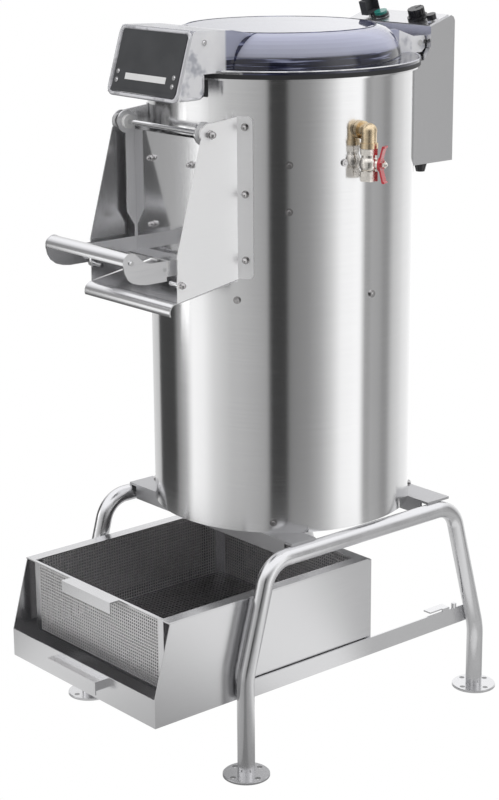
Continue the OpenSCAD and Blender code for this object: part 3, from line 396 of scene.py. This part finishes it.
MATERIALS = {
    "drum": drum_steel(),
    "tube": brushed("steel_tube", (0.70, 0.70, 0.71), rough=0.22, grain=GRAIN_TUBE, shade=0.03, relief=0.08),
    "cheek": brushed("steel_cheek", (0.96, 0.96, 0.965), rough=0.50, grain=GRAIN_CHEEK,
                     shade=0.010, relief=0.03, spread=0.03),
    "door": door_steel(),
    "sheet_v": brushed("steel_sheet_upright_grain", (0.74, 0.74, 0.75), rough=0.22, grain=GRAIN_UP,
                       shade=0.012, relief=0.03, spread=0.02),
    "sheet_h": brushed("steel_sheet_level_grain", (0.74, 0.74, 0.75), rough=0.22, grain=GRAIN_LEVEL,
                       shade=0.012, relief=0.03, spread=0.02),
    "perforated": brushed("steel_perforated", (0.80, 0.79, 0.79), rough=0.40, grain=COARSE_GRAIN,
                          shade=0.10, relief=0.10),
    "floor_sheet": brushed("steel_slotted", (0.34, 0.33, 0.34), rough=0.34, grain=COARSE_GRAIN,
                           shade=0.10, relief=0.10),
    "bright": brushed("steel_bright", (0.80, 0.80, 0.81), rough=0.10, grain=FINE_GRAIN,
                      shade=0.03, relief=0.05),
    "bar": brushed("steel_crossbar", (0.50, 0.50, 0.51), rough=0.42, grain=GRAIN_BAR,
                   shade=0.03, relief=0.05),
    "screw": cast_metal("fastener_steel", (0.56, 0.55, 0.55), rough=0.14, grain=300.0, relief=0.2),
    "brass": cast_metal("brass_cast", (0.84, 0.68, 0.46), rough=0.26),
    "nickel": cast_metal("nickel_plate", (0.88, 0.84, 0.78), rough=0.20),
    "cast": cast_metal("cast_grey_paint", (0.22, 0.24, 0.27), rough=0.45, metallic=0.2),
    "rubber": plastic("rubber_black", (0.018, 0.018, 0.020), rough=0.55, grain=500.0, relief=0.3),
    "anthracite": plastic("panel_anthracite", (0.052, 0.054, 0.058), rough=0.42, grain=1300.0, relief=0.2),
    "black": plastic("plastic_black", (0.012, 0.012, 0.014), rough=0.28, grain=700.0, relief=0.12, coat=0.2),
    "green": plastic("button_green", (0.030, 0.24, 0.20), rough=0.22, grain=700.0, relief=0.05, coat=0.5),
    "white": plastic("plastic_white", (0.84, 0.84, 0.83), rough=0.35, grain=700.0,
                     relief=0.08, coat=0.1, mottled=0.02),
    "red": plastic("paint_red", (0.55, 0.012, 0.025), rough=0.22, grain=300.0, relief=0.1, coat=0.7),
    "abrasive": abrasive("abrasive_grit", (0.10, 0.10, 0.105)),
    "clear": clear_cover("clear_cover"),
    "clear_rim_painted_highlight": clear_edge_painted_highlight("clear_rim_painted_highlight", centre=(0.97, 0.97, 1.0), edge=(0.03, 0.03, 0.05), alpha=0.45),
    "clear_line_painted_highlight": clear_edge_painted_highlight("clear_line_painted_highlight", centre=(1.0, 1.0, 1.0), edge=(0.45, 0.46, 0.55), alpha=0.95),
    # painted shade for the dome's inner step, crown line and hood fillets
    "step": dark_step_painted_shade("dome_inner_step_painted_shade"),
}

# the nodes that each material dresses
USE = {
    "drum": "casing",
    "tube": "frame_left frame_right foot_plates",
    "cheek": "cheek_right",
    "door": "door_panel",
    "bar": "crossbars",
    "sheet_v": "rail_left rail_right rail_stops control_box chute_frame cheek_left",
    "sheet_h": "base_plate chamber_floor drain_pipe chute_floor handle_grip handle_arms tray basket_frame "
               "motor_bracket control_panel basket_mesh basket_floor",
    "bright": "hinge_rod latch_pins spindle disc_cap hinge_pin handle_screws panel_screws",
    "screw": "casing_screws cheek_nuts door_nuts",
    "rubber": "rim_seal chute_seal shaft_seal belt",
    "abrasive": "liner disc",
    "cast": "bearing_housing driven_pulley motor_pulley motor",
    "anthracite": "hood_panel button_cover",
    "black": "hinge_block timer_knob stop_button cable_gland",
    "green": "start_button",
    "white": "hood_label door_bushes",
    "red": "valve_handle",
    "brass": "elbow",
    "nickel": "valve_body valve_stem",
    "clear": "lid",
}
for key, names in USE.items():
    for name in names.split():
        slots = nodes[name].data.materials
        slots.clear()
        slots.append(MATERIALS[key])


# ------------------------------------------------------------- mesh making
def mesh_object(name, bm, material, body, slot, *replaced):
    """Object from a finished bmesh, which rides a body in place of the replaced nodes."""
    mesh = bpy.data.meshes.new(name)
    bm.to_mesh(mesh)
    bm.free()
    made = bpy.data.objects.new(name, mesh)
    bpy.context.scene.collection.objects.link(made)
    mesh.materials.append(MATERIALS[material])
    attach(made, body)
    if replaced:
        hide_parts(*replaced)
    return made


def smooth(made):
    for face in made.data.polygons:
        face.use_smooth = True


def add_box(bm, lo, hi):
    """Box between two corners."""
    size = [b - a for a, b in zip(lo, hi)]
    middle = [(a + b) / 2 for a, b in zip(lo, hi)]
    for v in bmesh.ops.create_cube(bm, size=1.0)["verts"]:
        v.co = Vector([m + c * s for m, c, s in zip(middle, v.co, size)])


def circle_angles(count):
    """Angles of evenly spaced points on a full turn."""
    return [2 * math.pi * i / count for i in range(count)]


def add_skin(bm, rings, closed=False, turned=False):
    """Quads between neighbouring rings. Open ends get a cap, and turned swaps inside and outside."""
    following = rings[1:] + rings[:1] if closed else rings[1:]
    for r0, r1 in zip(rings, following):
        for k in range(len(r0)):
            n = (k + 1) % len(r0)
            bm.faces.new((r0[k], r1[k], r1[n], r0[n]) if turned else (r0[k], r0[n], r1[n], r1[k]))
    if not closed:
        bm.faces.new(rings[0] if turned else rings[0][::-1])
        bm.faces.new(rings[-1][::-1] if turned else rings[-1])


def add_tube(bm, path, radii, closed=False):
    """Round bar along a path, with a radius at each point."""
    sides = 12
    world_up, world_back, too_steep = Vector((0.0, 0.0, 1.0)), Vector((0.0, 1.0, 0.0)), 0.2
    rings = []
    last = len(path) - 1
    for i, (at, radius) in enumerate(zip(path, radii)):
        if closed:
            along = path[(i + 1) % len(path)] - path[i - 1]
        else:
            along = path[min(i + 1, last)] - path[max(i - 1, 0)]
        along.normalize()
        sideways = along.cross(world_up)
        if sideways.length < too_steep:
            sideways = along.cross(world_back)
        sideways.normalize()
        upward = sideways.cross(along)
        rings.append([bm.verts.new(at + (sideways * math.cos(a) + upward * math.sin(a)) * radius)
                      for a in circle_angles(sides)])
    add_skin(bm, rings, closed)


# ------------------------------------------------------- perforated basket
# The CAD's sheets have fewer and larger windows. These take their place with the real fine holes.
SHEET = 0.001  # thickness of the CAD's wall sheets
FRONT_STRIP, REAR_STRIP = 0.0140, 0.0138  # corner strips, from the outer faces of the wall sheets
WALL_PITCH, WALL_BAR, WALL_THICK = 0.0052, 0.0017, 0.0012
FLOOR_PITCH, FLOOR_BAR, FLOOR_THICK = 0.0080, 0.0030, 0.0015
SECOND_SET = 0.6  # the crossing bars are thinner, so that no two faces lie together


def add_perforated(bm, axis, at, spans, pitch, bar, thick):
    """Square-hole sheet as two sets of crossing bars.

    axis is the sheet's normal and at its level there; spans are its ranges on the two other axes, in order.
    """
    first, second = (k for k in range(3) if k != axis)
    span = {first: spans[0], second: spans[1]}
    for along, across, depth in ((first, second, thick), (second, first, thick * SECOND_SET)):
        lo, hi = span[along]
        count = max(1, round((hi - lo) / pitch))
        for i in range(count + 1):
            middle = lo + (hi - lo) * i / count
            p, q = [0.0] * 3, [0.0] * 3
            p[axis], q[axis] = at - depth / 2, at + depth / 2
            p[along], q[along] = middle - bar / 2, middle + bar / 2
            p[across], q[across] = span[across]
            add_box(bm, p, q)


def basket_walls():
    lo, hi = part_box("basket_mesh")
    x_span = (lo.x + FRONT_STRIP, hi.x - FRONT_STRIP)
    y_span = (lo.y + FRONT_STRIP, hi.y - REAR_STRIP)
    z_span = (lo.z, hi.z)
    bm = bmesh.new()
    for y in (lo.y + SHEET / 2, hi.y - SHEET / 2):
        add_perforated(bm, 1, y, (x_span, z_span), WALL_PITCH, WALL_BAR, WALL_THICK)
    for x in (lo.x + SHEET / 2, hi.x - SHEET / 2):
        add_perforated(bm, 0, x, (y_span, z_span), WALL_PITCH, WALL_BAR, WALL_THICK)
    mesh_object("basket_walls_perforated", bm, "perforated", "basket", "sheet", "basket_mesh")


def basket_bottom():
    lo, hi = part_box("basket_floor")
    bm = bmesh.new()
    spans = ((lo.x, hi.x), (lo.y, hi.y))
    add_perforated(bm, 2, (lo.z + hi.z) / 2, spans, FLOOR_PITCH, FLOOR_BAR, FLOOR_THICK)
    mesh_object("basket_floor_perforated", bm, "floor_sheet", "basket", "sheet", "basket_floor")


basket_walls()
basket_bottom()

# ---------------------------------------------------- moulding of the lid
lid_lo, lid_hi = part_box("lid")
LID_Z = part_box("rim_seal")[1].z  # the lid lies on the seal
FLANGE_R = lid_hi.x
# the dome's flat crown, its shoulder's round across and up, and the flange that it stands on, as in the CAD
DOME_R, DOME_ROUND, DOME_RISE, DOME_FOOT = 0.148, 0.046, 0.052, 0.004
HOOD_W = 0.088  # half the hood's width
HOOD_FOOT, HOOD_HEAD = Vector((0.0, lid_lo.y, lid_lo.z)), Vector((0.0, -0.250, LID_Z + 0.065))


def dome_point(theta, inset=0.0):
    """Radius and height on the dome's rounded shoulder, from 0 at its foot to 90 degrees at the crown."""
    return (DOME_R + (DOME_ROUND - inset) * math.cos(theta),
            LID_Z + DOME_FOOT + (DOME_RISE - inset) * math.sin(theta))


def lid_inner_step():
    """Band behind the foot of the dome's wall, open where the hood is, painted dark as shade."""
    outer_inset, inner_inset = 0.0040, 0.0065
    first, last, steps = 28.0, 332.0, 152  # degrees round the dome from the front
    climb = [math.radians(a) for a in (1, 6, 11, 16, 21, 26)]
    profile = [dome_point(a, outer_inset) for a in climb]
    profile += [dome_point(a, inner_inset) for a in reversed(climb)]
    bm = bmesh.new()
    rings = []
    for i in range(steps + 1):
        a = math.radians(first + (last - first) * i / steps)
        rings.append([bm.verts.new((r * math.sin(a), -r * math.cos(a), z)) for r, z in profile])
    add_skin(bm, rings, turned=True)
    smooth(mesh_object("lid_inner_step", bm, "step", "lid", "clear"))


def lid_flange_bead_painted_highlight():
    """Bead round the flange with a painted highlight along it, from the hood's side to the hinge, one each
    side.
    """
    bead_r, rise, first, last, steps = 0.0014, 0.0042, 24.5, 150.0, 60
    ring_r = FLANGE_R - bead_r
    bm = bmesh.new()
    for side in (-1, 1):
        arc = [math.radians(first + (last - first) * i / steps) for i in range(steps + 1)]
        path = [Vector((side * ring_r * math.sin(a), -ring_r * math.cos(a), LID_Z + rise)) for a in arc]
        add_tube(bm, path, [bead_r] * len(path))
    smooth(mesh_object("lid_flange_bead_painted_highlight", bm, "clear_line_painted_highlight", "lid", "clear"))


def lid_crown_line_painted_shade():
    """Fine line of painted shade where the dome's round shoulder meets its flat crown."""
    line_r, steps, climb = 0.0008, 120, math.radians(84)
    r, z = dome_point(climb)
    bm = bmesh.new()
    path = [Vector((r * math.cos(a), r * math.sin(a), z)) for a in circle_angles(steps)]
    add_tube(bm, path, [line_r] * steps, closed=True)
    smooth(mesh_object("lid_crown_line_painted_shade", bm, "step", "lid", "clear"))


def lid_hood_fillets_painted_shade():
    """Fillets of painted shade where the hood's side walls run into the dome, thickest half-way up."""
    thin, swell, inset, steps = 0.0012, 0.0026, 0.001, 18
    bm = bmesh.new()
    for side in (-1, 1):
        path, radii = [], []
        for i in range(steps + 1):
            climb = i / steps
            r, z = dome_point(climb * math.pi / 2, inset)
            path.append(Vector((side * HOOD_W, -math.sqrt(r * r - HOOD_W * HOOD_W), z)))
            radii.append(thin + swell * math.sin(climb * math.pi) ** 2)
        add_tube(bm, path, radii)
    smooth(mesh_object("lid_hood_fillets_painted_shade", bm, "step", "lid", "clear"))


# foot and back edge of the hood's side walls, Y and Z
HOOD_SIDE_EDGE = [
    (-0.276, 1.0610), (-0.262, 1.0608), (-0.248, 1.0608), (-0.240, 1.0612), (-0.2345, 1.0640),
    (-0.2325, 1.0690), (-0.2325, 1.0780), (-0.2325, 1.0880), (-0.2325, 1.0950),
]


def panel_outline():
    """Points round the hood's sloping front, with a quarter turn at each corner."""
    round_r, quarter_steps = 0.011, 6
    side_inset, head_inset, foot_inset = 0.0035, 0.002, 0.001
    slope = HOOD_HEAD - HOOD_FOOT
    across = HOOD_W - side_inset - round_r
    low, high = round_r - foot_inset, slope.length - head_inset - round_r
    slope.normalize()
    path = []
    for quarter, (side, level) in enumerate(((1, high), (-1, high), (-1, low), (1, low))):
        for k in range(quarter_steps + 1):
            a = math.pi / 2 * (quarter + k / quarter_steps)
            x = side * across + round_r * math.cos(a)
            path.append(HOOD_FOOT + slope * (level + round_r * math.sin(a)) + Vector((x, 0.0, 0.0)))
    return path


def hood_rolled_edge_painted_highlight():
    """Rolled edge round the dark front panel, and along the foot and back of each side wall, with a painted
    highlight along its middle and painted shade at its sides.
    """
    front_r, side_r, inset = 0.0036, 0.0026, 0.001
    bm = bmesh.new()
    front = panel_outline()
    add_tube(bm, front, [front_r] * len(front), closed=True)
    for side in (-1, 1):
        path = [Vector((side * (HOOD_W - inset), y, z)) for y, z in HOOD_SIDE_EDGE]
        add_tube(bm, path, [side_r] * len(path))
    smooth(mesh_object("hood_rolled_edge_painted_highlight", bm, "clear_rim_painted_highlight", "lid", "clear"))


lid_inner_step()
lid_flange_bead_painted_highlight()
lid_crown_line_painted_shade()
lid_hood_fillets_painted_shade()
hood_rolled_edge_painted_highlight()

# ------------------------------------------------------------ start button
# The switch plate starts here, behind the lid, and slopes up to the rear; the button is this far up it.
PLATE_Y, PLATE_Z = 0.241, LID_Z + 0.0433
PLATE_RUN, PLATE_RISE, START_UP = 0.047, 0.0157, 0.021
# the bezel's radii and its heights above the plate
BEZEL_R, COLLAR_R, OPENING_R = 0.01318, 0.01305, 0.0113
BEZEL_FOOT, COLLAR_TOP, BEZEL_TOP = 0.0024, 0.00605, 0.0066
CHAMFER_R, CHAMFER_H = 0.00048, 0.0005
BEZEL_SIDES = 48


def start_bezel():
    """Black bezel over the collar of the start button, square to the sloping switch plate."""
    section = [
        (BEZEL_R, BEZEL_FOOT), (BEZEL_R, BEZEL_TOP - CHAMFER_H), (BEZEL_R - CHAMFER_R, BEZEL_TOP),
        (OPENING_R, BEZEL_TOP), (OPENING_R, COLLAR_TOP), (COLLAR_R, COLLAR_TOP), (COLLAR_R, BEZEL_FOOT),
    ]
    button_lo, button_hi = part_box("start_button")
    plate_at = Matrix.Translation(((button_lo.x + button_hi.x) / 2, PLATE_Y, PLATE_Z))
    plate_at = plate_at @ Matrix.Rotation(math.atan2(PLATE_RISE, PLATE_RUN), 4, "X")
    bm = bmesh.new()
    rings = []
    for a in circle_angles(BEZEL_SIDES):
        ring = [Vector((r * math.cos(a), START_UP + r * math.sin(a), h)) for r, h in section]
        rings.append([bm.verts.new(plate_at @ at) for at in ring])
    add_skin(bm, rings, closed=True, turned=True)
    mesh_object("start_bezel", bm, "black", "base", "black")


start_bezel()

# ------------------------------------------------------------------- stage
# Graduated panels and dark flags stand round the object. Each is an upright strip of the surroundings:
# compass angles of its two edges from the front (toward +X) and its levels there. The gaps are soft edges.
PANELS = [
    (-180, -134, 0.92, 1.20), (-127, -93, 0.80, 0.66), (-88, -60, 0.07, 0.06), (-57, -45, 0.26, 0.52),
    (-37, -24, 1.22, 1.12), (-14, 4, 0.84, 0.60), (12, 36.5, 0.57, 0.42), (39.5, 53, 0.05, 0.05),
    (56, 72, 0.24, 0.32), (82, 92, 0.46, 0.74), (102, 121, 1.14, 1.25), (127, 128.5, 0.34, 0.32),
    (131, 145, 0.50, 0.42), (149, 155, 0.33, 0.33), (163, 180, 0.66, 0.88),
]
WHITE, BLACK = grey(1.0), grey(0.0)


def panel_stops(lo, hi):
    """Ramp stops of the panels between two compass angles. The panel across 0 is cut there."""
    stops = []
    for a0, a1, v0, v1 in PANELS:
        corners = [(a0, v0), (a1, v1)]
        if a0 * a1 < 0:
            corners.insert(1, (0.0, v0 + (v1 - v0) * (0.0 - a0) / (a1 - a0)))
        stops += [((a - lo) / (hi - lo), grey(v)) for a, v in corners if lo <= a <= hi]
    return stops


def panels(tree, x, y):
    """The panels as seen along x and y. A ramp holds at most 32 stops, so each side has its own."""
    angle = calc(tree, "ARCTAN2", x, calc(tree, "MULTIPLY", y, -1.0))
    sides = []
    for lo, hi in ((-180.0, 0.0), (0.0, 180.0)):
        share = to_range(tree, angle, math.radians(lo), math.radians(hi))
        sides.append(ramp(tree, share, *panel_stops(lo, hi)))
    return mixed(tree, calc(tree, "GREATER_THAN", angle, 0.0), *sides)


def studio_world():
    """Panels all round under a bright ceiling. The camera itself sees plain white."""
    ceiling, ceiling_from, ceiling_full = (1.25, 1.25, 1.27), 0.30, 0.62
    world = bpy.data.worlds.new("studio")
    bpy.context.scene.world = world
    world.use_nodes = True
    tree = world.node_tree
    x, y, z = split(tree, place(tree, "Generated"))
    lit = mixed(tree, to_range(tree, z, ceiling_from, ceiling_full), panels(tree, x, y), ceiling)
    background = next(n for n in tree.nodes if n.type == "BACKGROUND")
    put(tree, background.inputs, {"Color": mixed(tree, from_camera(tree), lit, WHITE), "Strength": 1.0})
    bpy.context.scene.view_settings.view_transform = "Standard"


def floor_material():
    """White to the camera. To the steel it glows with painted light and shade: a pale floor, lighter to the
    right, mixed with painted shade from the panels.
    """
    made, tree = new_material("floor_pale_painted_light")
    x, y, _ = split(tree, place(tree))
    # painted light, lighter toward the right
    rightward = to_range(tree, calc(tree, "ADD", x, y), -0.2, 0.7)
    pale = ramp(tree, rightward, (0.0, grey(0.40)), (1.0, grey(0.66)))
    # painted shade from the panels, mixed in half and half
    painted_light_and_shade = mixed(tree, 0.5, panels(tree, x, y), pale)
    dress(tree, {
        "Base Color": (*BLACK, 1.0),
        "Roughness": 1.0,
        "Specular IOR Level": 0.0,
        "Emission Color": mixed(tree, from_camera(tree), painted_light_and_shade, WHITE),
        "Emission Strength": 1.0,
    })
    return made


def pale_floor():
    """Plain round floor just below the feet."""
    radius, sides, centre = 1.15, 96, (0.0, -0.08, -0.0005)
    bm = bmesh.new()
    bmesh.ops.create_circle(bm, cap_ends=True, segments=sides, radius=radius)
    mesh = bpy.data.meshes.new("floor")
    bm.to_mesh(mesh)
    bm.free()
    floor = bpy.data.objects.new("floor", mesh)
    floor.location = centre
    bpy.context.scene.collection.objects.link(floor)
    floor.data.materials.append(floor_material())


def door_card():
    """Soft card that the hanging door mirrors. The camera doesn't see it."""
    stand, aim = Vector((-1.01, -1.25, 0.60)), Vector((0.0, -0.22, 0.87))
    width, height, watts = 0.26, 0.50, 0.45
    light = bpy.data.lights.new("door_card", "AREA")
    light.shape = "RECTANGLE"
    light.size, light.size_y = width, height
    light.energy = watts
    card = bpy.data.objects.new("door_card", light)
    card.location = stand
    card.rotation_euler = (aim - stand).to_track_quat("-Z", "Y").to_euler()
    card.visible_camera = False
    bpy.context.scene.collection.objects.link(card)


studio_world()
pale_floor()
door_card()
